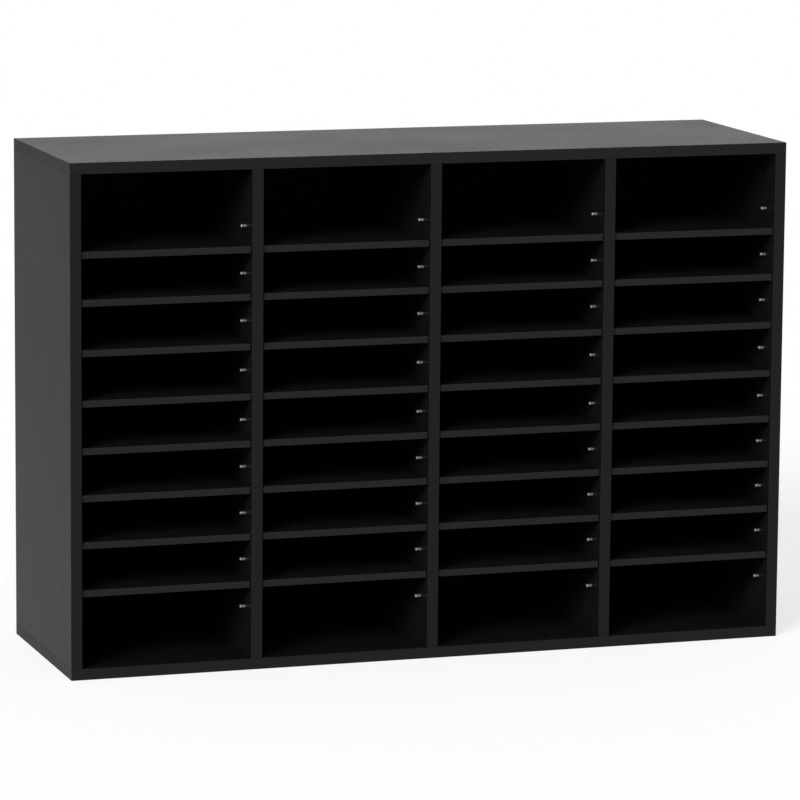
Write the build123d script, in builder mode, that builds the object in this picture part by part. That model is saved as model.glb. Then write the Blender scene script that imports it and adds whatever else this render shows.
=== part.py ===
from build123d import *
import os

# Literature organizer: a low cabinet of board, four columns of shelves that lie loose on steel pins.
# The origin is the middle of the underside, X runs along the width, the open front faces -Y and +Z is up.

os.makedirs("parts", exist_ok=True)

# Carcass of laminated board, in millimetres
board_thickness = 15.0
cabinet_depth = 305.0
column_count = 4
column_width = 231.25

# Clear heights of the compartments in a column, from the bottom up
compartment_heights = [95.5, 55.0, 53.5, 53.5, 54.0, 57.5, 57.0, 54.0, 101.5]

# Loose shelves
shelf_thickness = 9.0
shelf_set_back = 3.0
shelf_end_gap = 1.0
shelf_rear_gap = 4.0
shelf_edge_chamfer = 0.5

# Hardboard back, let into grooves near the rear edges
back_thickness = 3.0
back_set_in = 8.0
back_groove_depth = 6.0
back_clearance = 0.2

# Shelf pins: one row under every shelf, and a spare row half a compartment lower
pin_diameter = 5.0
pin_reach = 7.5
pin_hole_floor = 6.0
pin_hole_clearance = 0.1
pin_end_gap = 0.5
pin_seat_gap = 0.1
front_pin_inset = 31.0
rear_pin_inset = 44.0
spare_pin_drop = 30.5
top_spare_rise = 63.0

# Cam fittings and dowels, which draw the uprights to the top and the bottom
cam_diameter = 15.0
cam_clearance = 0.2
cam_pocket_floor = 2.5
cam_end_distance = 34.0
front_cam_inset = 60.0
rear_cam_inset = 54.0
cam_bolt_diameter = 6.0
cam_bolt_depth_in_panel = 11.0
cam_bolt_past_centre = 2.0
cam_bolt_clearance = 0.2
cam_slot_clearance = 0.8
cam_cap_overlap = 1.5
cam_cap_thickness = 0.8
dowel_diameter = 8.0
dowel_depth_in_panel = 10.0
dowel_depth_in_upright = 20.0
dowel_clearance = 0.1
dowel_end_gap = 0.5

# Small round stock is drawn with six flats around its circle, and the cams with twelve
rod_sides = 6
disc_sides = 12

# Places that follow from the sizes
shelf_count = len(compartment_heights) - 1
cabinet_width = column_count * column_width + (column_count + 1) * board_thickness
upright_height = sum(compartment_heights) + shelf_count * shelf_thickness
cabinet_height = upright_height + 2 * board_thickness
front_y = -cabinet_depth / 2
rear_y = cabinet_depth / 2
upright_bottom = board_thickness
upright_top = board_thickness + upright_height
upright_pitch = column_width + board_thickness
upright_centres = [
    board_thickness / 2 - cabinet_width / 2 + index * upright_pitch for index in range(column_count + 1)
]
back_y = rear_y - back_set_in - back_thickness / 2
back_front_face = back_y - back_thickness / 2
groove_width = back_thickness + 2 * back_clearance

shelf_undersides = [
    upright_bottom + sum(compartment_heights[: level + 1]) + level * shelf_thickness
    for level in range(shelf_count)
]
pin_radius = pin_diameter / 2
pin_hole_radius = pin_radius + pin_hole_clearance
pin_hole_depth = board_thickness - pin_hole_floor
support_levels = [underside - pin_seat_gap - pin_radius for underside in shelf_undersides]
spare_levels = [underside - spare_pin_drop for underside in shelf_undersides]
spare_levels.append(spare_levels[-1] + top_spare_rise)
pin_lines = [front_y + front_pin_inset, back_front_face - rear_pin_inset]

cam_lines = [front_y + front_cam_inset, back_front_face - rear_cam_inset]
cam_levels = [upright_bottom + cam_end_distance, upright_top - cam_end_distance]
cam_pocket_depth = board_thickness - cam_pocket_floor
cam_thickness = cam_pocket_depth - 2 * cam_clearance
bolt_hole_radius = cam_bolt_diameter / 2 + cam_bolt_clearance
dowel_hole_radius = dowel_diameter / 2 + dowel_clearance
dowel_y = sum(cam_lines) / 2


def places(lines, levels):
    """Every crossing of the depth lines with the height levels, for a sketch on a YZ plane."""
    return [(line, level) for line in lines for level in levels]


pin_places = places(pin_lines, support_levels + spare_levels)
cam_places = places(cam_lines, cam_levels)


def fit_holes(plane, rod_places, radius, depth):
    """Sink six-sided holes for rods into the part being built, along the plane's normal."""
    with BuildSketch(plane) as holes:
        with Locations(*rod_places):
            RegularPolygon(radius, rod_sides, major_radius=False)
    extrude(holes.sketch, amount=depth, mode=Mode.SUBTRACT)


def joint_holes(centre_x):
    """Sink the bolt bores and the dowel holes into both ends of the upright being built."""
    bolt_places = [(centre_x, line) for line in cam_lines]
    dowel_hole_depth = dowel_depth_in_upright + dowel_end_gap
    for end_z, inward in ((upright_bottom, 1), (upright_top, -1)):
        end_plane = Plane.XY.offset(end_z)
        fit_holes(end_plane, bolt_places, bolt_hole_radius, inward * cam_end_distance)
        fit_holes(end_plane, [(centre_x, dowel_y)], dowel_hole_radius, inward * dowel_hole_depth)


def cam_pockets(face_x, inward):
    """Sink the cam pockets into one face of the upright being built."""
    with BuildSketch(Plane.YZ.offset(face_x)) as pockets:
        with Locations(*cam_places):
            RegularPolygon(cam_diameter / 2 + cam_clearance, disc_sides, major_radius=False)
    extrude(pockets.sketch, amount=inward * cam_pocket_depth, mode=Mode.SUBTRACT)


def side_panel(label, centre_x, inward):
    """An outer upright: blind pin holes, cam pockets and the back's groove open on its inner face."""
    inner_face = centre_x + inward * board_thickness / 2
    with BuildPart() as panel:
        with BuildSketch(Plane.XY.offset(upright_bottom)):
            with Locations((centre_x, 0)):
                Rectangle(board_thickness, cabinet_depth)
        extrude(amount=upright_height)
        with BuildSketch(Plane.XY.offset(upright_bottom)):
            with Locations((inner_face - inward * back_groove_depth / 2, back_y)):
                Rectangle(back_groove_depth, groove_width)
        extrude(amount=upright_height, mode=Mode.SUBTRACT)
        fit_holes(Plane.YZ.offset(inner_face), pin_places, pin_hole_radius, -inward * pin_hole_depth)
        cam_pockets(inner_face, -inward)
        joint_holes(centre_x)
    panel.part.label = label
    export_step(panel.part, f"parts/{label}.step")


def divider_panel(label, centre_x):
    """An inner upright: its pin holes run right through, and it stops in front of the back."""
    left_face = centre_x - board_thickness / 2
    right_face = centre_x + board_thickness / 2
    divider_depth = back_front_face - back_clearance - front_y
    with BuildPart() as panel:
        with BuildSketch(Plane.XY.offset(upright_bottom)):
            with Locations((centre_x, front_y + divider_depth / 2)):
                Rectangle(board_thickness, divider_depth)
        extrude(amount=upright_height)
        fit_holes(Plane.YZ.offset(left_face), pin_places, pin_hole_radius, board_thickness)
        cam_pockets(right_face, -1)
        joint_holes(centre_x)
    panel.part.label = label
    export_step(panel.part, f"parts/{label}.step")


def end_panel(label, outer_z, inward):
    """The top or the bottom: it runs over the full width and takes the bolts and dowels of the uprights."""
    inner_z = outer_z + inward * board_thickness
    groove_length = cabinet_width - 2 * board_thickness + 2 * back_groove_depth
    bolt_places = [(centre, line) for centre in upright_centres for line in cam_lines]
    dowel_places = [(centre, dowel_y) for centre in upright_centres]
    dowel_hole_depth = dowel_depth_in_panel + dowel_end_gap
    inner_plane = Plane.XY.offset(inner_z)
    with BuildPart() as panel:
        with BuildSketch(Plane.XY.offset(outer_z)):
            Rectangle(cabinet_width, cabinet_depth)
        extrude(amount=inward * board_thickness)
        with BuildSketch(inner_plane):
            with Locations((0, back_y)):
                Rectangle(groove_length, groove_width)
        extrude(amount=-inward * back_groove_depth, mode=Mode.SUBTRACT)
        fit_holes(inner_plane, bolt_places, bolt_hole_radius, -inward * cam_bolt_depth_in_panel)
        fit_holes(inner_plane, dowel_places, dowel_hole_radius, -inward * dowel_hole_depth)
    panel.part.label = label
    export_step(panel.part, f"parts/{label}.step")


def loose_shelf(label, left_x, underside):
    """A thin board that lies on four pins, its front edges eased."""
    shelf_length = column_width - 2 * shelf_end_gap
    shelf_depth = back_front_face - shelf_rear_gap - front_y - shelf_set_back
    with BuildPart() as shelf:
        with BuildSketch(Plane.XY.offset(underside)):
            with Locations((left_x + column_width / 2, front_y + shelf_set_back + shelf_depth / 2)):
                Rectangle(shelf_length, shelf_depth)
        extrude(amount=shelf_thickness)
        front_face = shelf.faces().sort_by(Axis.Y)[0]
        chamfer(front_face.edges().filter_by(Axis.X), shelf_edge_chamfer)
    shelf.part.label = label
    export_step(shelf.part, f"parts/{label}.step")


def side_pins(label, levels):
    """Single pins in the blind holes of both outer uprights, pointing inwards."""
    pin_length = pin_reach + pin_hole_depth - pin_end_gap
    with BuildPart() as pins:
        for centre_x, inward in ((upright_centres[0], 1), (upright_centres[-1], -1)):
            tip_x = centre_x + inward * (board_thickness / 2 + pin_reach)
            with BuildSketch(Plane.YZ.offset(tip_x)):
                with Locations(*places(pin_lines, levels)):
                    RegularPolygon(pin_radius, rod_sides, major_radius=False)
            extrude(amount=-inward * pin_length)
    pins.part.label = label
    export_step(pins.part, f"parts/{label}.step")


def divider_pins(label, levels):
    """Double pins through the dividers, which carry a shelf on either side."""
    pin_length = board_thickness + 2 * pin_reach
    with BuildPart() as pins:
        for centre_x in upright_centres[1:-1]:
            with BuildSketch(Plane.YZ.offset(centre_x - pin_length / 2)):
                with Locations(*places(pin_lines, levels)):
                    RegularPolygon(pin_radius, rod_sides, major_radius=False)
            extrude(amount=pin_length)
    pins.part.label = label
    export_step(pins.part, f"parts/{label}.step")


# Uprights
for index, centre in enumerate(upright_centres):
    if index == 0:
        side_panel("left_side_panel", centre, 1)
    elif index == column_count:
        side_panel("right_side_panel", centre, -1)
    else:
        divider_panel(f"divider_{index}", centre)

# Top and bottom
end_panel("bottom_panel", 0, 1)
end_panel("top_panel", cabinet_height, -1)

# Back
with BuildPart() as back:
    back_overlap = back_groove_depth - back_clearance
    with BuildSketch(Plane.XY.offset(upright_bottom - back_overlap)):
        with Locations((0, back_y)):
            Rectangle(cabinet_width - 2 * board_thickness + 2 * back_overlap, back_thickness)
    extrude(amount=upright_height + 2 * back_overlap)
back.part.label = "back_panel"
export_step(back.part, "parts/back_panel.step")

# Shelves, numbered from the left and from the bottom
for column in range(column_count):
    for level, underside in enumerate(shelf_undersides):
        column_left = upright_centres[column] + board_thickness / 2
        loose_shelf(f"shelf_column_{column + 1}_level_{level + 1}", column_left, underside)

# Shelf pins
side_pins("side_support_pins", support_levels)
side_pins("side_spare_pins", spare_levels)
divider_pins("divider_support_pins", support_levels)
divider_pins("divider_spare_pins", spare_levels)

# The face of each upright that its cams open on, and the way out of it
cam_faces = [(centre + board_thickness / 2, 1) for centre in upright_centres[:-1]]
cam_faces.append((upright_centres[-1] - board_thickness / 2, -1))

# Cam discs, each with a slot that takes the bolt from the end of its upright
with BuildPart() as cams:
    for face_x, outward in cam_faces:
        with BuildSketch(Plane.YZ.offset(face_x - outward * cam_clearance)):
            with Locations(*cam_places):
                RegularPolygon(cam_diameter / 2, disc_sides, major_radius=False)
        extrude(amount=-outward * cam_thickness)
    slot_width = cam_bolt_diameter + 2 * cam_slot_clearance
    slot_length = cam_diameter + cam_bolt_past_centre
    for centre in upright_centres:
        for cam_level, towards_end in ((cam_levels[0], -1), (cam_levels[1], 1)):
            slot_start = cam_level - towards_end * (cam_bolt_past_centre + cam_bolt_clearance)
            with BuildSketch(Plane.XY.offset(slot_start)):
                with Locations(*[(centre, line) for line in cam_lines]):
                    Rectangle(slot_width, slot_width)
            extrude(amount=towards_end * slot_length, mode=Mode.SUBTRACT)
cams.part.label = "cam_discs"
export_step(cams.part, "parts/cam_discs.step")

# Cam bolts, screwed into the top and the bottom and drawn in by the cams
with BuildPart() as bolts:
    bolt_length = cam_end_distance + cam_bolt_past_centre + cam_bolt_depth_in_panel - cam_bolt_clearance
    for cam_level, towards_end in ((cam_levels[0], -1), (cam_levels[1], 1)):
        with BuildSketch(Plane.XY.offset(cam_level - towards_end * cam_bolt_past_centre)):
            with Locations(*[(centre, line) for centre in upright_centres for line in cam_lines]):
                RegularPolygon(cam_bolt_diameter / 2, rod_sides, major_radius=False)
        extrude(amount=towards_end * bolt_length)
bolts.part.label = "cam_bolts"
export_step(bolts.part, "parts/cam_bolts.step")

# Black caps over the cams
with BuildPart() as caps:
    for face_x, outward in cam_faces:
        with BuildSketch(Plane.YZ.offset(face_x)):
            with Locations(*cam_places):
                RegularPolygon(cam_diameter / 2 + cam_cap_overlap, disc_sides, major_radius=False)
        extrude(amount=outward * cam_cap_thickness)
caps.part.label = "cam_caps"
export_step(caps.part, "parts/cam_caps.step")

# Beech dowels, which place the uprights on the top and the bottom
with BuildPart() as dowels:
    dowel_length = dowel_depth_in_upright + dowel_depth_in_panel
    for joint_z, into_upright in ((upright_bottom, 1), (upright_top, -1)):
        with BuildSketch(Plane.XY.offset(joint_z - into_upright * dowel_depth_in_panel)):
            with Locations(*[(centre, dowel_y) for centre in upright_centres]):
                RegularPolygon(dowel_diameter / 2, rod_sides, major_radius=False)
        extrude(amount=into_upright * dowel_length)
dowels.part.label = "dowels"
export_step(dowels.part, "parts/dowels.step")
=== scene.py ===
# %% [markdown]
# A literature organizer is a low cabinet of black board: a top, a bottom, five uprights, a thin back, and
# thirty-two loose shelves that lie on steel pins. The CAD frame already holds every piece at its true size.
# This lesson dresses that frame: it keeps each piece where it is and gives it eased edges, edge bands,
# turned pins and real finishes. The first cell loads the frame and keeps its box, which the looks must not
# outgrow.

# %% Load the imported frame
import math

import bmesh
import bpy
from mathutils import Matrix, Vector


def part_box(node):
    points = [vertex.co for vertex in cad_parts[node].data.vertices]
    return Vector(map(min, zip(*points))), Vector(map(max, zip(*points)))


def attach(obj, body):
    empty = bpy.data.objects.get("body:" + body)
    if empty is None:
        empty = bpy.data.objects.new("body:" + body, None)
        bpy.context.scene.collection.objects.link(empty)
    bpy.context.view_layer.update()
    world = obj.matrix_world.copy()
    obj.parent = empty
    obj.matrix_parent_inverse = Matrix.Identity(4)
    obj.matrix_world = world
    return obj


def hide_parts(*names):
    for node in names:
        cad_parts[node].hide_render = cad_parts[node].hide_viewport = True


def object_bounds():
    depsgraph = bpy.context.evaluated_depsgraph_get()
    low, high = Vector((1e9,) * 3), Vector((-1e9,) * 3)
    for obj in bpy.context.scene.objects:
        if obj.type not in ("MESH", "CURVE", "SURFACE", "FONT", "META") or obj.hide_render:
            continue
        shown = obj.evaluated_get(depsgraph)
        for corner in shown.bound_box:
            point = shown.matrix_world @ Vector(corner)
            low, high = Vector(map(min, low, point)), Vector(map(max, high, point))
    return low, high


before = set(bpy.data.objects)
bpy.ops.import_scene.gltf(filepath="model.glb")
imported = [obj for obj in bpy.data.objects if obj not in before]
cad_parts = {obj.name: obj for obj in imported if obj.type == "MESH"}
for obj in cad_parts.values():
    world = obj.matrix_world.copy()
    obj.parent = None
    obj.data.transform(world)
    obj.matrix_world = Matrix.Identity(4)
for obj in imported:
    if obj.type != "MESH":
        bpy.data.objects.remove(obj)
cad_low, cad_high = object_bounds()
scene = bpy.context.scene
print("CAD box in metres", [round(size, 4) for size in cad_high - cad_low])

# %% [markdown]
# The camera comes first, because every later choice is judged through it. The place, aim and roll were
# fitted to the seven visible corners of the cabinet. A long lens from six metres away gives the nearly
# parallel edges of a catalogue picture. A track quaternion turns the camera to its aim, and a last turn
# about its own axis adds the roll.

# %% Camera
camera_place = Vector((-1.9982, -6.0360, 1.3833))
camera_aim = Vector((-0.0487, -0.1525, 0.3541))
camera_roll = math.radians(0.47)
focal_length_in_pixels = 4723.0
image_width_in_pixels = 800
sensor_width = 36.0

camera_data = bpy.data.cameras.new("catalogue_camera")
camera_data.sensor_width = sensor_width
camera_data.lens = focal_length_in_pixels * sensor_width / image_width_in_pixels
camera = bpy.data.objects.new("catalogue_camera", camera_data)
scene.collection.objects.link(camera)
facing = (camera_aim - camera_place).to_track_quat("-Z", "Y").to_matrix().to_4x4()
camera.matrix_world = Matrix.Translation(camera_place) @ facing @ Matrix.Rotation(camera_roll, 4, "Z")
scene.camera = camera
print("lens", round(camera_data.lens, 2), "mm, distance", round((camera_aim - camera_place).length, 3), "m")

# %% [markdown]
# A black cabinet is seen mostly by what it mirrors, so the studio around it matters more than the lamps.
# The sky is white where the camera or a glossy surface looks at it, which gives the satin top and side
# their grey. All other rays get a dimmer sky. A tent of bright panels would do the same with more pieces.
# The Light Path node tells the two kinds of rays apart, so one sky is enough.

# %% White surround
white = (1.0, 1.0, 1.0, 1.0)
white_strength = 1.0
sky_strength = 0.50


def add_node(tree, kind, **settings):
    """Adds a node to a tree and sets its own properties by name."""
    node = tree.nodes.new(kind)
    for setting, value in settings.items():
        setattr(node, setting, value)
    return node


def arithmetic(tree, operation, *values):
    """A Math node on sockets or plain numbers."""
    math_node = add_node(tree, "ShaderNodeMath", operation=operation)
    for socket, value in zip(math_node.inputs, values):
        if isinstance(value, bpy.types.NodeSocket):
            tree.links.new(value, socket)
        else:
            socket.default_value = value
    return math_node.outputs["Value"]


def seen_rays(tree):
    """One for a ray that something looks along, and zero for a ray that only carries light."""
    path = add_node(tree, "ShaderNodeLightPath").outputs
    mirrored = arithmetic(tree, "MAXIMUM", path["Is Camera Ray"], path["Is Glossy Ray"])
    return arithmetic(tree, "MAXIMUM", mirrored, path["Is Transmission Ray"])


sky = bpy.data.worlds.new("white_studio")
sky.use_nodes = True
scene.world = sky
sky_tree = sky.node_tree
light_sky = sky_tree.nodes["Background"]
white_sky = add_node(sky_tree, "ShaderNodeBackground")
for background, strength in ((light_sky, sky_strength), (white_sky, white_strength)):
    background.inputs["Color"].default_value = white
    background.inputs["Strength"].default_value = strength
sky_mix = add_node(sky_tree, "ShaderNodeMixShader")
sky_tree.links.new(seen_rays(sky_tree), sky_mix.inputs["Fac"])
sky_tree.links.new(light_sky.outputs["Background"], sky_mix.inputs[1])
sky_tree.links.new(white_sky.outputs["Background"], sky_mix.inputs[2])
sky_tree.links.new(sky_mix.outputs["Shader"], sky_tree.nodes["World Output"].inputs["Surface"])
print("sky", sky.name, "strength", sky_strength, "and", white_strength, "where it is seen")

# %% [markdown]
# The floor is a plain pale sheet just under the cabinet. Paint alone would come out grey beside the white
# sky, and a glow alone would swallow the shadow.

# %% Pale floor
floor_half_size = 30.0
floor_drop = 0.0001
floor_white = (0.96, 0.96, 0.96, 1.0)
floor_glow_share = 0.72

floor_finish = bpy.data.materials.new("pale_floor")
floor_finish.use_nodes = True
floor_tree = floor_finish.node_tree
floor_tree.nodes.clear()
floor_paint = add_node(floor_tree, "ShaderNodeBsdfDiffuse")
floor_paint.inputs["Color"].default_value = floor_white
floor_glow = add_node(floor_tree, "ShaderNodeEmission")
floor_glow.inputs["Strength"].default_value = white_strength
glow_share = arithmetic(floor_tree, "MULTIPLY", seen_rays(floor_tree), floor_glow_share)
floor_mix = add_node(floor_tree, "ShaderNodeMixShader")
floor_out = add_node(floor_tree, "ShaderNodeOutputMaterial")
floor_tree.links.new(glow_share, floor_mix.inputs["Fac"])
floor_tree.links.new(floor_paint.outputs["BSDF"], floor_mix.inputs[1])
floor_tree.links.new(floor_glow.outputs["Emission"], floor_mix.inputs[2])
floor_tree.links.new(floor_mix.outputs["Shader"], floor_out.inputs["Surface"])

floor_mesh = bpy.data.meshes.new("studio_floor")
floor_corners = [(-1, -1), (1, -1), (1, 1), (-1, 1)]
floor_height = cad_low.z - floor_drop
floor_mesh.from_pydata(
    [(x * floor_half_size, y * floor_half_size, floor_height) for x, y in floor_corners],
    [],
    [(0, 1, 2, 3)],
)
floor_mesh.materials.append(floor_finish)
floor = bpy.data.objects.new("studio_floor", floor_mesh)
scene.collection.objects.link(floor)
print("floor", 2 * floor_half_size, "m wide, at height", floor_height)

# %% [markdown]
# One wide sun from the front left lights the inside of the bays and throws the soft shadow. An area lamp
# would light the near bays more than the far ones, and a sun has only a direction, so every bay gets the
# same light. The Standard view shows the greys as they are worked out.

# %% Soft sun
sun_strength = 3.4
sun_spread = math.radians(24)
sun_travel = Vector((0.63, 0.60, -0.49))

sun_data = bpy.data.lights.new("soft_sun", "SUN")
sun_data.energy = sun_strength
sun_data.angle = sun_spread
sun = bpy.data.objects.new("soft_sun", sun_data)
sun.rotation_mode = "QUATERNION"
sun.rotation_quaternion = sun_travel.to_track_quat("-Z", "Y")
scene.collection.objects.link(sun)
scene.view_settings.view_transform = "Standard"
level_light = sky_strength + sun_strength * -sun_travel.normalized().z / math.pi
print("light on a level white surface", round(level_light, 3))

# %% [markdown]
# Every finish of the cabinet is a Principled shader that is fed by noise. An image would be the quick way,
# but noise on Object coordinates needs no unwrapping and keeps its scale on every piece. These helpers make
# a fresh finish, a noise, a mark that is read from the mesh, a blend of two colours, a range for a number
# and a relief.

# %% Finish helpers
noise_low = 0.3
noise_high = 0.7
full_strength = 1.0
# The sockets of a Mix node that blends colours, by their place on the node.
mix_factor, mix_first, mix_second, mix_result = 0, 6, 7, 2


def new_finish(name):
    """A fresh material, its tree, its shader and its Object coordinates."""
    finish = bpy.data.materials.new(name)
    finish.use_nodes = True
    tree = finish.node_tree
    place = add_node(tree, "ShaderNodeTexCoord").outputs["Object"]
    return finish, tree, tree.nodes["Principled BSDF"], place


def noise(tree, place, scale, detail):
    """A noise of the given number of cells per metre."""
    texture = add_node(tree, "ShaderNodeTexNoise")
    texture.inputs["Scale"].default_value = scale
    texture.inputs["Detail"].default_value = detail
    tree.links.new(place, texture.inputs["Vector"])
    return texture.outputs["Fac"]


def marked(tree, mark):
    """How strongly the mesh carries a mark."""
    return add_node(tree, "ShaderNodeAttribute", attribute_name=mark).outputs["Fac"]


def mix_colours(tree, factor, first, second):
    """Blends two colours, each a colour or another node's output."""
    mix = add_node(tree, "ShaderNodeMix", data_type="RGBA")
    tree.links.new(factor, mix.inputs[mix_factor])
    for place, colour in ((mix_first, first), (mix_second, second)):
        if isinstance(colour, bpy.types.NodeSocket):
            tree.links.new(colour, mix.inputs[place])
        else:
            mix.inputs[place].default_value = colour
    return mix.outputs[mix_result]


def spread(tree, texture, limits):
    """Maps the middle of a noise to the range between two limits."""
    mapping = add_node(tree, "ShaderNodeMapRange")
    mapping.inputs["From Min"].default_value = noise_low
    mapping.inputs["From Max"].default_value = noise_high
    mapping.inputs["To Min"].default_value = limits[0]
    mapping.inputs["To Max"].default_value = limits[1]
    tree.links.new(texture, mapping.inputs["Value"])
    return mapping.outputs["Result"]


def bump(tree, shader, height, depth):
    """Raises the surface by a height texture, at most by depth metres."""
    relief = add_node(tree, "ShaderNodeBump")
    relief.inputs["Strength"].default_value = full_strength
    relief.inputs["Distance"].default_value = depth
    tree.links.new(height, relief.inputs["Height"])
    tree.links.new(relief.outputs["Normal"], shader.inputs["Normal"])


print("noise from", noise_low, "to", noise_high, "fills the range of a finish")

# %% [markdown]
# Melamine laminate is a resin-soaked sheet, pressed hot between polished plates. The plates leave a fine
# pearl, so the black is not mirror-flat, and the press leaves slow changes of gloss across a board. The
# edge band is a strip of dyed plastic, duller than the face; its grey is lighter than the face's as painted
# reflection, for the mirror that the low specular level leaves out. The outer faces get a painted sheen,
# a lighter grey that stands in for reflection and that the inside lacks, and the front arrises get a grey
# line that is partly wear and partly a painted highlight. One material for each of these would show hard
# borders and quadruple the slots. Here one material reads marks on the board, which say how much of each it
# has to paint.

# %% Laminate finish
black_base = (0.0050, 0.0050, 0.0051, 1.0)
black_cloud = (0.0062, 0.0062, 0.0063, 1.0)
# The band's grey is painted reflection, lighter than the face for the mirror that the low specular level
# leaves out.
band_black_and_painted_reflection = (0.0144, 0.0144, 0.0146, 1.0)
# Painted sheen: a lighter grey for the outer faces that stands in for reflection.
painted_sheen_base = (0.0283, 0.0283, 0.0286, 1.0)
painted_sheen_cloud = (0.0367, 0.0367, 0.0371, 1.0)
# The arris grey is partly edge wear and partly a painted highlight.
worn_highlight_black = (0.0240, 0.0240, 0.0243, 1.0)
band_dullness = 0.1125
cloud_scale = 7.0
cloud_detail = 3.0
pearl_scale = 1500.0
pearl_detail = 2.0
pearl_height = 0.00006
laminate_specular = 0.0095
board_roughness = (0.245, 0.285)
shelf_roughness = (0.265, 0.305)


def laminate(name, roughness):
    """Satin black melamine: clouds of tone and gloss, a fine pearl, bands, worn arrises, and painted sheen.
    """
    finish, tree, shader, place = new_finish(name)
    cloud = noise(tree, place, cloud_scale, cloud_detail)
    band = marked(tree, "edge_band")
    painted_sheen_colour = mix_colours(tree, cloud, painted_sheen_base, painted_sheen_cloud)
    colour = mix_colours(tree, cloud, black_base, black_cloud)
    # The band's lighter grey is painted reflection.
    colour = mix_colours(tree, band, colour, band_black_and_painted_reflection)
    # The outer faces get painted sheen, a lighter grey in place of reflection.
    colour = mix_colours(tree, marked(tree, "painted_sheen"), colour, painted_sheen_colour)
    # Front arrises: a grey line, partly wear and partly painted highlight.
    colour = mix_colours(tree, marked(tree, "worn_highlight_arris"), colour, worn_highlight_black)
    tree.links.new(colour, shader.inputs["Base Color"])
    dulled = arithmetic(tree, "MULTIPLY_ADD", band, band_dullness, spread(tree, cloud, roughness))
    tree.links.new(dulled, shader.inputs["Roughness"])
    shader.inputs["Specular IOR Level"].default_value = laminate_specular
    bump(tree, shader, noise(tree, place, pearl_scale, pearl_detail), pearl_height)
    return finish


board_laminate = laminate("satin_black_laminate", board_roughness)
shelf_laminate = laminate("shelf_black_laminate", shelf_roughness)
print("laminates", board_laminate.name, shelf_laminate.name)

# %% [markdown]
# A board is a slab with laminate on both faces and a thin plastic band glued round its edge. A plain cube
# would show razor edges, and a bevel modifier would not give the hairline where the band meets the face. So
# a board is lofted along its depth from rounded rectangles: they grow through the eased front arris, dip at
# the hairline behind the band, run straight to the rear and close again. Every ring has the same number of
# points, which makes the skin a simple grid.

# %% Board shape
arris_steps = 3
quarter_turn = 90
band_thickness = 0.0010
hairline_width = 0.00016
hairline_depth = 0.00008
least_corner_share = 0.05
arris_turns = [math.radians(quarter_turn * step / arris_steps) for step in range(arris_steps + 1)]


def section(low, high, depth, inset, arris):
    """One rounded rectangle of a board at a given depth, drawn in by inset."""
    radius = max(arris - inset, arris * least_corner_share)
    near_x = low.x + inset + radius
    near_z = low.z + inset + radius
    far_x = high.x - inset - radius
    far_z = high.z - inset - radius
    points = []
    for corner, (x, z) in enumerate(((far_x, far_z), (near_x, far_z), (near_x, near_z), (far_x, near_z))):
        for turn in arris_turns:
            angle = math.radians(quarter_turn * corner) + turn
            points.append((x + radius * math.cos(angle), depth, z + radius * math.sin(angle)))
    return points


def board_profile(low, high, arris, banded):
    """Depth and inset of each ring, from the front edge to the rear edge."""
    edge = [(arris * (1 - math.sin(turn)), arris * (1 - math.cos(turn))) for turn in reversed(arris_turns)]
    if banded:
        half = hairline_width / 2
        edge += [(band_thickness - half, 0), (band_thickness, hairline_depth), (band_thickness + half, 0)]
    front = [(low.y + depth, inset) for depth, inset in edge]
    rear = [(high.y - depth, inset) for depth, inset in reversed(edge)]
    return front + rear


print("points in a ring of a board", 4 * len(arris_turns))

# %% [markdown]
# The laminate asks a board for three marks. The band covers every narrow face, but not the small slopes
# where two boards meet, which stay a dark line. The front arrises get a grey line, partly wear and partly a
# painted highlight. Painted sheen lies on the cabinet's outer faces: evenly on the level ones, and on the
# upright ones stronger towards the floor, as painted bounce light from it. Painting this by hand would need
# an image for each board. The place and direction of a face already say what it is, so the marks are worked
# out and kept as attributes, the painted sheen at each corner, because it fades along one long face.

# %% Marks on a board
axis_x = 0
axis_z = 2
square_share = 0.9
front_share = 0.2
flush_limit = 0.00001
joint_reach = 0.001
joint_heights = (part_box("bottom_panel")[1].z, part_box("top_panel")[0].z)
# Shares of painted sheen: even on the level outer faces, and on the upright sides stronger towards the
# floor as painted bounce light.
level_painted_sheen = 0.342
foot_painted_sheen = 0.47
head_painted_sheen = 0.025


def near(value, places, reach):
    """True if a value is within reach of one of the places."""
    return min(abs(value - place) for place in places) < reach


def lies_outside(face, axis):
    """True for a face in the cabinet's outer plane on an axis."""
    flush = near(face.center[axis], (cad_low[axis], cad_high[axis]), flush_limit)
    return flush and abs(face.normal[axis]) > square_share


def painted_sheen_at(face, height):
    """The painted sheen on a face at a height, stronger towards the floor on the upright sides."""
    if lies_outside(face, axis_z):
        return level_painted_sheen
    if lies_outside(face, axis_x):
        climb = (height - cad_low.z) / (cad_high.z - cad_low.z)
        return foot_painted_sheen + climb * (head_painted_sheen - foot_painted_sheen)
    return 0.0


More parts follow.
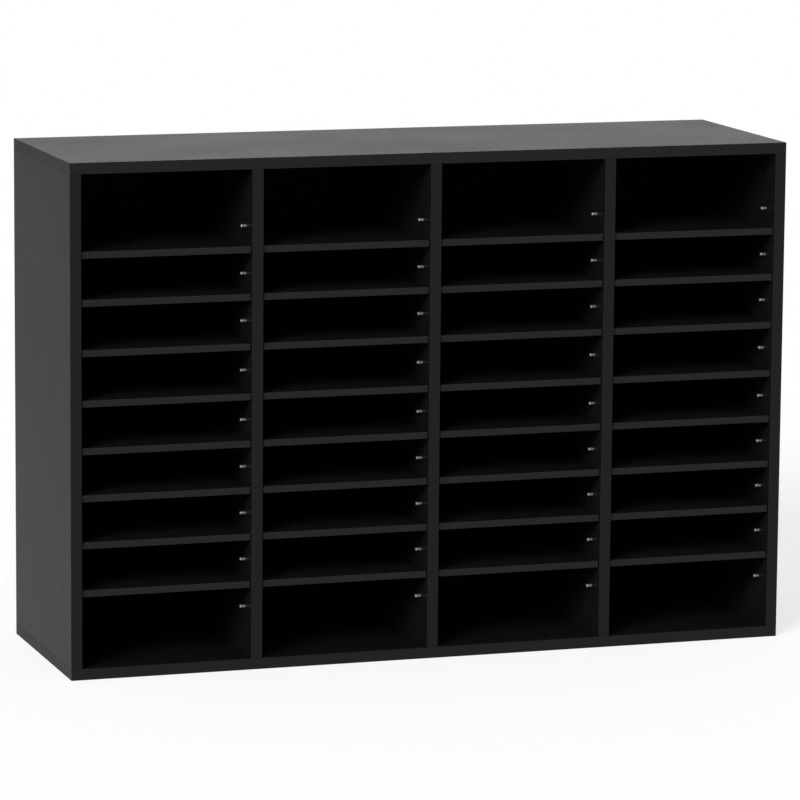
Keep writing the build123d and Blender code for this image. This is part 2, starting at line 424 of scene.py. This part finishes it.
def mark_faces(mesh, low, high, band_shade):
    """Marks edge bands, worn and painted-highlight arrises and the painted sheen of the outer faces on a
    board.
    """
    thin_axis = min(range(3), key=lambda axis: high[axis] - low[axis])
    hairlines = (low.y + band_thickness, high.y - band_thickness)
    bands = []
    worn_highlight = []
    painted_sheen = []
    for face in mesh.polygons:
        broad = abs(face.normal[thin_axis]) > square_share
        eased = max(abs(part) for part in face.normal) <= square_share
        at_joint = eased and near(face.center.z, joint_heights, joint_reach)
        in_hairline = near(face.center.y, hairlines, hairline_width)
        front_arris = eased and face.normal.y < -front_share and not in_hairline
        bands.append(0.0 if broad or at_joint else band_shade)
        # Front arrises get wear and a painted highlight.
        worn_highlight.append(1.0 if front_arris and not at_joint else 0.0)
        for corner in face.loop_indices:
            vertex = mesh.vertices[mesh.loops[corner].vertex_index]
            # Painted sheen at each corner of a face.
            painted_sheen.append(painted_sheen_at(face, vertex.co.z))
    for mark, domain, values in (
        ("edge_band", "FACE", bands),
        ("worn_highlight_arris", "FACE", worn_highlight),
        ("painted_sheen", "CORNER", painted_sheen),
    ):
        mesh.attributes.new(mark, "FLOAT", domain).data.foreach_set("value", values)


print("joints at heights", [round(height, 4) for height in joint_heights])

# %% [markdown]
# With the shape and the marks ready, a board is made in one go: rings, skin, two end faces, marks and
# finish. It fills the box of its CAD node, so the node's place and size are never written twice.

# %% Board maker
def make_board(name, node, finish, body, arris, band_shade):
    """Builds a board in the box of a CAD node, sets it on its body and hides that node."""
    low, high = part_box(node)
    shell = bmesh.new()
    rings = []
    for depth, inset in board_profile(low, high, arris, banded=band_shade > 0):
        rings.append([shell.verts.new(point) for point in section(low, high, depth, inset, arris)])
    count = len(rings[0])
    for ring, following in zip(rings, rings[1:]):
        for index in range(count):
            beside = (index + 1) % count
            shell.faces.new((ring[index], ring[beside], following[beside], following[index]))
    shell.faces.new(rings[0])
    shell.faces.new(rings[-1])
    bmesh.ops.recalc_face_normals(shell, faces=shell.faces)
    mesh = bpy.data.meshes.new(name)
    shell.to_mesh(mesh)
    shell.free()
    mark_faces(mesh, low, high, band_shade)
    mesh.materials.append(finish)
    piece = bpy.data.objects.new(name, mesh)
    scene.collection.objects.link(piece)
    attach(piece, body)
    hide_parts(node)
    print(piece.name, len(mesh.polygons), "faces")
    return piece


print("nodes to dress", len(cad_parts))

# %% [markdown]
# The carcass is seven boards. The top and the bottom run over the full width and hide the ends of the
# uprights, as the seams on the outer side show. Their bands get a shade more of the painted reflection than
# those of the uprights. Nothing here needs a size of its own beyond the eased arris.

# %% Carcass boards
board_arris = 0.0004
upright_band = 0.64
level_band = 0.80
levels = ["top_panel", "bottom_panel"]
uprights = ["left_side_panel", "divider_1", "divider_2", "divider_3", "right_side_panel"]
for node in levels + uprights:
    band = level_band if node in levels else upright_band
    make_board(node + "_board", node, board_laminate, "carcass", board_arris, band)

# %% [markdown]
# The shelves are thinner boards of the same laminate, with the lightest bands. Each is loose on its four
# pins and slides out towards the front, so each rides on its own body. The front arris is eased a little
# more than the carcass's, because hands pass over it.

# %% Shelves
shelf_arris = 0.0005
shelf_band = 1.0
shelf_nodes = sorted(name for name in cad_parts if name.startswith("shelf_column_"))
for node in shelf_nodes:
    make_board(node + "_board", node, shelf_laminate, node, shelf_arris, shelf_band)
print("shelves", len(shelf_nodes))

# %% [markdown]
# The back is a sheet of hardboard. Its face is lacquered black like the boards. Its rear side is left as it
# came from the press: dull charcoal fibre with the woven mark of the press screen. Modelling that weave
# would take a million faces, so two crossed waves give it as relief. One sheet has both sides, and a mark
# on its faces says which side the finish is on.

# %% Hardboard finish
lacquer_black = (0.0026, 0.0026, 0.0026, 1.0)
lacquer_cloud = (0.0044, 0.0043, 0.0042, 1.0)
lacquer_specular = 0.03
fibre_dark = (0.017, 0.016, 0.015, 1.0)
fibre_light = (0.036, 0.034, 0.032, 1.0)
fibre_scale = 240.0
fibre_detail = 5.0
hardboard_roughness = (0.58, 0.70)
screen_pitch = 0.0026
screen_height = 0.00025
screen_wander = 0.6
# A Wave texture of scale one repeats its bands at this pitch, in metres.
wave_pitch = math.pi / 10


def waves(tree, place, direction, scale, wander):
    """Parallel ridges, one behind the other along an axis."""
    wave = add_node(tree, "ShaderNodeTexWave", wave_type="BANDS", bands_direction=direction)
    wave.inputs["Scale"].default_value = scale
    wave.inputs["Distortion"].default_value = wander
    tree.links.new(place, wave.inputs["Vector"])
    return wave.outputs["Fac"]


def pressed_hardboard(name):
    """Black lacquer on the face, and charcoal fibre with the press screen's weave behind."""
    finish, tree, shader, place = new_finish(name)
    fibre = noise(tree, place, fibre_scale, fibre_detail)
    behind = marked(tree, "screen_side")
    threads = [waves(tree, place, axis, wave_pitch / screen_pitch, screen_wander) for axis in ("X", "Z")]
    weave = arithmetic(tree, "MULTIPLY", *threads)
    face_colour = mix_colours(tree, fibre, lacquer_black, lacquer_cloud)
    rear_colour = mix_colours(tree, fibre, fibre_dark, fibre_light)
    tree.links.new(mix_colours(tree, behind, face_colour, rear_colour), shader.inputs["Base Color"])
    tree.links.new(spread(tree, fibre, hardboard_roughness), shader.inputs["Roughness"])
    shader.inputs["Specular IOR Level"].default_value = lacquer_specular
    bump(tree, shader, arithmetic(tree, "MULTIPLY", weave, behind), screen_height)
    return finish


hardboard = pressed_hardboard("pressed_hardboard")
print("finish", hardboard.name, "screen pitch", screen_pitch)

# %% [markdown]
# The sheet is let into grooves of the top, the bottom and the sides, and stands a little in front of their
# rear edges. It is a board without a band, so the board maker builds it too, and only the mark of its rear
# side is added.

# %% Back sheet
back_arris = 0.0003
no_band = 0.0
back = make_board(
    "back_panel_sheet", "back_panel", hardboard, "carcass", back_arris, no_band
)
screen_side = [1.0 if face.normal.y > square_share else 0.0 for face in back.data.polygons]
back.data.attributes.new("screen_side", "FLOAT", "FACE").data.foreach_set("value", screen_side)
print(back.name, [round(size, 4) for size in back.dimensions])

# %% [markdown]
# Shelf pins are short turned rods. There are far too many to place by hand, and a list of places would go
# stale with the next change of the CAD. So the places are read from the CAD nodes, where each separate
# solid is one pin. A node's mesh is loose triangles and must not be changed, so a copy is merged first, and
# a walk from vertex to vertex finds its solids.

# %% Read the places of repeated pieces
merge_distance = 1e-6


def solid_boxes(node):
    """Lowest and highest corner of each separate solid of a CAD node, read from a merged copy."""
    copy = bmesh.new()
    copy.from_mesh(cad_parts[node].data)
    bmesh.ops.remove_doubles(copy, verts=copy.verts, dist=merge_distance)
    boxes = []
    waiting = set(copy.verts)
    while waiting:
        front = [waiting.pop()]
        found = list(front)
        while front:
            vertex = front.pop()
            for edge in vertex.link_edges:
                other = edge.other_vert(vertex)
                if other in waiting:
                    waiting.remove(other)
                    front.append(other)
                    found.append(other)
        corners = [vertex.co.copy() for vertex in found]
        low = Vector([min(corner[axis] for corner in corners) for axis in range(3)])
        high = Vector([max(corner[axis] for corner in corners) for axis in range(3)])
        boxes.append((low, high))
    copy.free()
    return sorted(boxes, key=lambda box: tuple(box[0]))


side_pin_nodes = ["side_support_pins", "side_spare_pins"]
divider_pin_nodes = ["divider_support_pins", "divider_spare_pins"]
pin_boxes = {node: solid_boxes(node) for node in side_pin_nodes + divider_pin_nodes}
print("pins", {node: len(boxes) for node, boxes in pin_boxes.items()})

# %% [markdown]
# The pins are plated steel. The lathe leaves fine rings round them and the plating is slightly cloudy, so a
# plain mirror would look too new. The front spare pins shine, and the rear ones and those under the
# shelves get painted shade, a dark grey for the shade of the bays. A second material would do for that, but
# a mark on the pins keeps all of them in one finish.

# %% Pin steel
plating_cloud_scale = 420.0
plating_cloud_detail = 3.0
plating_roughness = (0.50, 0.58)
ring_scale = 900.0
ring_wander = 0.0
ring_depth = 0.00001
# Painted shade: the dark grey put on the pins that sit in the shade of the bays.
painted_shade_grey = (0.030, 0.030, 0.031, 1.0)
pin_plating = (0.38, 0.38, 0.39, 1.0)
pin_worn = (0.31, 0.31, 0.32, 1.0)
bare_metal = 1.0


def plated_steel(name, plating, worn):
    """Bright plating over turned steel: fine rings, a cloudy shine, and painted shade where it is marked.
    """
    finish, tree, shader, place = new_finish(name)
    cloud = noise(tree, place, plating_cloud_scale, plating_cloud_detail)
    clean_colour = mix_colours(tree, cloud, plating, worn)
    # Marked pins get painted shade.
    colour = mix_colours(tree, marked(tree, "painted_shade"), clean_colour, painted_shade_grey)
    tree.links.new(colour, shader.inputs["Base Color"])
    tree.links.new(spread(tree, cloud, plating_roughness), shader.inputs["Roughness"])
    shader.inputs["Metallic"].default_value = bare_metal
    bump(tree, shader, waves(tree, place, "X", ring_scale, ring_wander), ring_depth)
    return finish


pin_steel = plated_steel("plated_pin_steel", pin_plating, pin_worn)
print("finish", pin_steel.name)

# %% [markdown]
# A lathe turns a profile about an axis. A Spin in edit mode could do that once, but Geometry Nodes can do
# it for every pin and keep the sizes as named inputs. The profile is a list of stations, each with a place
# along the axis and a radius. A straight curve gets one point for each station, an Index Switch picks the
# point's place and radius, and Curve to Mesh skins a circle along it. For a piece with two like ends, the
# stations run from the middle outwards and the index is mirrored.

# %% A lathe in Geometry Nodes
half_step = 0.5
axis_end = (1.0, 0.0, 0.0)
unit_radius = 1.0


def pick(tree, index, values):
    """Picks one of several sockets or plain numbers by index."""
    switch = add_node(tree, "GeometryNodeIndexSwitch", data_type="FLOAT")
    while len(switch.index_switch_items) < len(values):
        switch.index_switch_items.new()
    tree.links.new(index, switch.inputs["Index"])
    for position, value in enumerate(values, start=1):
        if isinstance(value, bpy.types.NodeSocket):
            tree.links.new(value, switch.inputs[position])
        else:
            switch.inputs[position].default_value = value
    return switch.outputs["Output"]


def lathe(tree, stations, sides, mirrored):
    """Turns a piece about X from stations of how far along the axis and how far out."""
    station = add_node(tree, "GeometryNodeInputIndex").outputs["Index"]
    point_count = len(stations)
    if mirrored:
        from_middle = arithmetic(tree, "SUBTRACT", station, point_count - half_step)
        end = arithmetic(tree, "SIGN", from_middle)
        station = arithmetic(tree, "SUBTRACT", arithmetic(tree, "ABSOLUTE", from_middle), half_step)
        point_count = 2 * point_count
    along = pick(tree, station, [axial for axial, radius in stations])
    radius = pick(tree, station, [radius for axial, radius in stations])
    if mirrored:
        along = arithmetic(tree, "MULTIPLY", along, end)
    line = add_node(tree, "GeometryNodeCurvePrimitiveLine")
    line.inputs["End"].default_value = axis_end
    points = add_node(tree, "GeometryNodeResampleCurve")
    points.inputs["Count"].default_value = point_count
    place = add_node(tree, "ShaderNodeCombineXYZ")
    spindle = add_node(tree, "GeometryNodeSetPosition")
    rim = add_node(tree, "GeometryNodeCurvePrimitiveCircle")
    rim.inputs["Radius"].default_value = unit_radius
    skin = add_node(tree, "GeometryNodeCurveToMesh")
    skin.inputs["Fill Caps"].default_value = True
    tree.links.new(line.outputs["Curve"], points.inputs["Curve"])
    tree.links.new(points.outputs["Curve"], spindle.inputs["Geometry"])
    tree.links.new(along, place.inputs["X"])
    tree.links.new(place.outputs["Vector"], spindle.inputs["Position"])
    tree.links.new(sides, rim.inputs["Resolution"])
    tree.links.new(spindle.outputs["Geometry"], skin.inputs["Curve"])
    tree.links.new(rim.outputs["Curve"], skin.inputs["Profile Curve"])
    tree.links.new(radius, skin.inputs["Scale"])
    return skin.outputs["Mesh"]


print("the lathe turns about", axis_end)

# %% [markdown]
# A turned piece still has to get to its places. Each place is one vertex that carries its own turn, and
# Instance on Points sets the piece there. The tree ends with Realize Instances and Set Material, because an
# export drops instances. The sizes are sockets of the tree: a modifier takes them by the socket's
# identifier, before the object is first evaluated. The result is kept as a plain mesh, so nothing live is
# left on the piece.

# %% Set turned pieces on their places
def new_tree(name, sizes):
    """An empty node tree with named inputs for its sizes, ready for a lathe."""
    tree = bpy.data.node_groups.new(name, "GeometryNodeTree")
    tree.interface.new_socket("Places", in_out="INPUT", socket_type="NodeSocketGeometry")
    for size in sizes:
        tree.interface.new_socket(size, in_out="INPUT", socket_type="NodeSocketFloat")
    tree.interface.new_socket("Sides", in_out="INPUT", socket_type="NodeSocketInt")
    tree.interface.new_socket("Finish", in_out="INPUT", socket_type="NodeSocketMaterial")
    tree.interface.new_socket("Pieces", in_out="OUTPUT", socket_type="NodeSocketGeometry")
    return tree, add_node(tree, "NodeGroupInput").outputs


def set_on_places(tree, inputs, turned):
    """Sets the turned piece on every place, turned by that place's own angle, and makes it real."""
    angle = add_node(tree, "GeometryNodeInputNamedAttribute", data_type="FLOAT")
    angle.inputs["Name"].default_value = "turn"
    euler = add_node(tree, "ShaderNodeCombineXYZ")
    rotation = add_node(tree, "FunctionNodeEulerToRotation")
    spots = add_node(tree, "GeometryNodeMeshToPoints")
    instances = add_node(tree, "GeometryNodeInstanceOnPoints")
    real = add_node(tree, "GeometryNodeRealizeInstances")
    painted = add_node(tree, "GeometryNodeSetMaterial")
    output = add_node(tree, "NodeGroupOutput")
    tree.links.new(angle.outputs["Attribute"], euler.inputs["Z"])
    tree.links.new(euler.outputs["Vector"], rotation.inputs["Euler"])
    tree.links.new(inputs["Places"], spots.inputs["Mesh"])
    tree.links.new(spots.outputs["Points"], instances.inputs["Points"])
    tree.links.new(turned, instances.inputs["Instance"])
    tree.links.new(rotation.outputs["Rotation"], instances.inputs["Rotation"])
    tree.links.new(instances.outputs["Instances"], real.inputs["Geometry"])
    tree.links.new(real.outputs["Geometry"], painted.inputs["Geometry"])
    tree.links.new(inputs["Finish"], painted.inputs["Material"])
    tree.links.new(painted.outputs["Geometry"], output.inputs["Pieces"])


def grow(name, tree, places, marks, inputs, sharp_angle):
    """Runs a tree on one marked vertex for each place and keeps the result as a plain mesh."""
    spots = bpy.data.meshes.new(name + "_places")
    spots.from_pydata(places, [], [])
    for mark, values in marks.items():
        spots.attributes.new(mark, "FLOAT", "POINT").data.foreach_set("value", values)
    piece = bpy.data.objects.new(name, spots)
    scene.collection.objects.link(piece)
    modifier = piece.modifiers.new("lathe", "NODES")
    modifier.node_group = tree
    for item in tree.interface.items_tree:
        if item.in_out == "INPUT" and item.name in inputs:
            modifier[item.identifier] = inputs[item.name]
    depsgraph = bpy.context.evaluated_depsgraph_get()
    mesh = bpy.data.meshes.new_from_object(piece.evaluated_get(depsgraph), depsgraph=depsgraph)
    mesh.name = name
    piece.modifiers.clear()
    piece.data = mesh
    bpy.data.meshes.remove(spots)
    mesh.shade_smooth()
    mesh.set_sharp_from_angle(angle=sharp_angle)
    print(name, len(places), "pieces,", len(mesh.polygons), "faces")
    return piece


print("pins to set", sum(len(boxes) for boxes in pin_boxes.values()))

# %% [markdown]
# A shelf pin has a plain rod, a groove and a domed head. A bare cylinder would lose the bright nose and the
# dark ring that tell a pin from a nail. The pins of the outer sides have one head. Those that run through a
# divider have a head at both ends, which is the same list of stations, mirrored. The rod is a hair thinner
# than the head, and the dome is a quarter round in a few steps.

# %% Shape of a shelf pin
pin_sizes = [
    "Root", "Reach", "Rod Radius", "Head Length", "Groove Width", "Groove Depth", "Slope", "Nose", "Neck"
]
pin_nose_turns = [math.radians(turn) for turn in (0, 30, 60, 85)]


def pin_tree(name, mirrored):
    """A turned pin: rod, groove and domed head, on one end or on both."""
    tree, size = new_tree(name, pin_sizes)
    head = arithmetic(tree, "SUBTRACT", size["Reach"], size["Head Length"])
    groove = arithmetic(tree, "SUBTRACT", head, size["Groove Width"])
    rod = arithmetic(tree, "SUBTRACT", size["Rod Radius"], size["Neck"])
    groove_floor = arithmetic(tree, "SUBTRACT", size["Rod Radius"], size["Groove Depth"])
    stations = [
        (size["Root"], rod),
        (groove, rod),
        (arithmetic(tree, "ADD", groove, size["Slope"]), groove_floor),
        (arithmetic(tree, "SUBTRACT", head, size["Slope"]), groove_floor),
        (head, size["Rod Radius"]),
    ]
    for turn in pin_nose_turns:
        short = arithmetic(tree, "MULTIPLY", size["Nose"], 1 - math.sin(turn))
        drawn_in = arithmetic(tree, "MULTIPLY", size["Nose"], 1 - math.cos(turn))
        along = arithmetic(tree, "SUBTRACT", size["Reach"], short)
        stations.append((along, arithmetic(tree, "SUBTRACT", size["Rod Radius"], drawn_in)))
    set_on_places(tree, size, lathe(tree, stations, size["Sides"], mirrored))
    return tree


side_pin_tree = pin_tree("side_pin", mirrored=False)
divider_pin_tree = pin_tree("divider_pin", mirrored=True)
print("pin trees", side_pin_tree.name, divider_pin_tree.name, "with", len(pin_sizes), "sizes")

# %% [markdown]
# Now the pins go into the walls. Each box that was read from the CAD gives a pin's centre, and the nearest
# upright gives the wall that it stands in. The reach and the rod's radius come from the box too, so only
# the details of the head are set here. Pins that support a shelf, and those of the rear line, get the mark
# of painted shade, a dark grey for the shade of the bays.

# %% Set the shelf pins
pin_sides = 12
pin_head_length = 0.0019
pin_groove_width = 0.0007
pin_groove_depth = 0.0006
pin_groove_slope = 0.00012
pin_nose_radius = 0.0011
pin_neck_depth = 0.00025
pin_sharp_angle = math.radians(40)
walls = [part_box(upright) for upright in uprights]


def pin_seat(low, high, mirrored):
    """Where a pin's axis starts, where its rod begins and its head ends on that axis, and its turn."""
    middle = (low.x + high.x) / 2
    wall_low, wall_high = min(walls, key=lambda wall: abs((wall[0].x + wall[1].x) / 2 - middle))
    if mirrored:
        return middle, (wall_high.x - wall_low.x) / 2, (high.x - low.x) / 2, 0.0
    if middle < 0:
        return wall_high.x, low.x - wall_high.x, high.x - wall_high.x, 0.0
    return wall_low.x, wall_low.x - high.x, wall_low.x - low.x, math.pi


def make_pins(node, tree, mirrored):
    """Sets pins where the solids of a CAD node are."""
    places = []
    marks = {"turn": [], "painted_shade": []}
    for low, high in pin_boxes[node]:
        centre = (low + high) / 2
        start, root, reach, turn = pin_seat(low, high, mirrored)
        places.append((start, centre.y, centre.z))
        marks["turn"].append(turn)
        # Support pins and rear pins get painted shade.
        marks["painted_shade"].append(1.0 if "support" in node or centre.y > 0 else 0.0)
    # The pins of a node are alike, so the last one gives the sizes of all.
    inputs = {
        "Root": root,
        "Reach": reach,
        "Rod Radius": (high.z - low.z) / 2,
        "Head Length": pin_head_length,
        "Groove Width": pin_groove_width,
        "Groove Depth": pin_groove_depth,
        "Slope": pin_groove_slope,
        "Nose": pin_nose_radius,
        "Neck": pin_neck_depth,
        "Sides": pin_sides,
        "Finish": pin_steel,
    }
    piece = grow(node + "_turned", tree, places, marks, inputs, pin_sharp_angle)
    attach(piece, "carcass")
    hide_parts(node)


for node in side_pin_nodes:
    make_pins(node, side_pin_tree, mirrored=False)
for node in divider_pin_nodes:
    make_pins(node, divider_pin_tree, mirrored=True)

# %% [markdown]
# Each cam in an upright is hidden by a thin moulded cap of black plastic. Its mould was sparked, which
# leaves a fine grain, and one noise can vary the colour, the gloss and the relief. The zinc and the beech
# of the hidden fittings are made in that way too, so a helper links a noise to the colour and the gloss.

# %% Cap plastic
plastic_black = (0.0048, 0.0048, 0.0048, 1.0)
plastic_light = (0.0064, 0.0064, 0.0064, 1.0)
plastic_roughness = (0.42, 0.56)
plastic_specular = 0.038
spark_scale = 2600.0
spark_detail = 2.0
spark_depth = 0.00003


def vary(tree, shader, texture, first, second, roughness):
    """Lets one noise vary the colour and the roughness of a finish."""
    tree.links.new(mix_colours(tree, texture, first, second), shader.inputs["Base Color"])
    tree.links.new(spread(tree, texture, roughness), shader.inputs["Roughness"])


def moulded_plastic(name):
    """Black moulded plastic with the fine spark grain of its mould."""
    finish, tree, shader, place = new_finish(name)
    grain = noise(tree, place, spark_scale, spark_detail)
    vary(tree, shader, grain, plastic_black, plastic_light, plastic_roughness)
    shader.inputs["Specular IOR Level"].default_value = plastic_specular
    bump(tree, shader, grain, spark_depth)
    return finish


cap_plastic = moulded_plastic("black_moulded_plastic")
print("finish", cap_plastic.name)

# %% [markdown]
# The cap is a shallow disc with a rounded rim, so the lathe turns it as well. A flat cylinder would catch
# no light on its edge. The plug that snaps into the pocket is its first two stations, inside the wall, and
# the rim is a quarter round in two steps.

# %% Cam caps
cap_sizes = ["Cap Radius", "Cap Thickness", "Plug Radius", "Plug Depth", "Rim Round"]
cap_sides = 20
cap_plug_share = 0.8
cap_plug_depth = 0.0006
cap_plug_end_share = 0.01
cap_rim_round = 0.00035
cap_sharp_angle = math.radians(50)
wall_face = 0.0
# How far the middle of a quarter round is drawn in, as a share of its radius.
round_middle = 1 - math.sqrt(0.5)


def cap_tree(name):
    """A moulded cap: a plug in the pocket, a flat flange and a rounded rim."""
    tree, size = new_tree(name, cap_sizes)
    drawn_in = arithmetic(tree, "MULTIPLY", size["Rim Round"], round_middle)
    stations = [
        (arithmetic(tree, "MULTIPLY", size["Plug Depth"], -1.0), size["Plug Radius"]),
        (arithmetic(tree, "MULTIPLY", size["Plug Depth"], -cap_plug_end_share), size["Plug Radius"]),
        (wall_face, size["Cap Radius"]),
        (arithmetic(tree, "SUBTRACT", size["Cap Thickness"], size["Rim Round"]), size["Cap Radius"]),
        (
            arithmetic(tree, "SUBTRACT", size["Cap Thickness"], drawn_in),
            arithmetic(tree, "SUBTRACT", size["Cap Radius"], drawn_in),
        ),
        (size["Cap Thickness"], arithmetic(tree, "SUBTRACT", size["Cap Radius"], size["Rim Round"])),
    ]
    set_on_places(tree, size, lathe(tree, stations, size["Sides"], mirrored=False))
    return tree


cap_boxes = solid_boxes("cam_caps")
right_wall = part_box("right_side_panel")[0].x
cap_places = []
cap_turns = []
for low, high in cap_boxes:
    centre = (low + high) / 2
    faces_left = high.x > right_wall - flush_limit
    cap_places.append((high.x if faces_left else low.x, centre.y, centre.z))
    cap_turns.append(math.pi if faces_left else 0.0)
cap_low, cap_high = cap_boxes[0]
cap_radius = (cap_high.z - cap_low.z) / 2
cap_inputs = {
    "Cap Radius": cap_radius,
    "Cap Thickness": cap_high.x - cap_low.x,
    "Plug Radius": cap_radius * cap_plug_share,
    "Plug Depth": cap_plug_depth,
    "Rim Round": cap_rim_round,
    "Sides": cap_sides,
    "Finish": cap_plastic,
}
cap_marks = {"turn": cap_turns}
caps = grow("cam_caps_moulded", cap_tree("cam_cap"), cap_places, cap_marks, cap_inputs, cap_sharp_angle)
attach(caps, "carcass")
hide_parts("cam_caps")

# %% [markdown]
# The cams, bolts and dowels are hidden inside the joints, and their CAD shapes are right as they are. They
# keep those shapes and get true finishes: dull cast zinc with the mottle of its mould, plated steel like
# the pins but yellower, and pale beech. The grain of the beech is a noise that is squeezed on one axis, so
# that it runs along the dowel.

# %% Hidden fittings
zinc_dark = (0.36, 0.36, 0.37, 1.0)
zinc_light = (0.48, 0.48, 0.49, 1.0)
zinc_roughness = (0.42, 0.6)
mottle_scale = 700.0
mottle_detail = 4.0
mottle_depth = 0.00005
beech_dark = (0.46, 0.29, 0.16, 1.0)
beech_light = (0.62, 0.43, 0.26, 1.0)
beech_roughness = (0.55, 0.75)
beech_scale = 1800.0
beech_detail = 5.0
beech_squeeze = (1.0, 1.0, 0.08)
beech_depth = 0.00008
bolt_plating = (0.58, 0.57, 0.52, 1.0)
bolt_worn = (0.46, 0.45, 0.42, 1.0)


def cast_zinc(name):
    """Dull die-cast zinc with the mottle of the mould."""
    finish, tree, shader, place = new_finish(name)
    mottle = noise(tree, place, mottle_scale, mottle_detail)
    vary(tree, shader, mottle, zinc_dark, zinc_light, zinc_roughness)
    shader.inputs["Metallic"].default_value = bare_metal
    bump(tree, shader, mottle, mottle_depth)
    return finish


def beech(name):
    """Pale beech: noise drawn out along the dowel for its grain."""
    finish, tree, shader, place = new_finish(name)
    squeeze = add_node(tree, "ShaderNodeMapping")
    squeeze.inputs["Scale"].default_value = beech_squeeze
    tree.links.new(place, squeeze.inputs["Vector"])
    grain = noise(tree, squeeze.outputs["Vector"], beech_scale, beech_detail)
    vary(tree, shader, grain, beech_dark, beech_light, beech_roughness)
    bump(tree, shader, grain, beech_depth)
    return finish


hidden_finishes = {
    "cam_discs": (cast_zinc("cast_zinc"), "cam_zinc"),
    "cam_bolts": (plated_steel("plated_bolt_steel", bolt_plating, bolt_worn), "bolt_steel"),
    "dowels": (beech("pale_beech"), "beech"),
}
for node, (finish, slot) in hidden_finishes.items():
    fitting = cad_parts[node]
    fitting.data.materials.clear()
    fitting.data.materials.append(finish)
    print(node, finish.name)
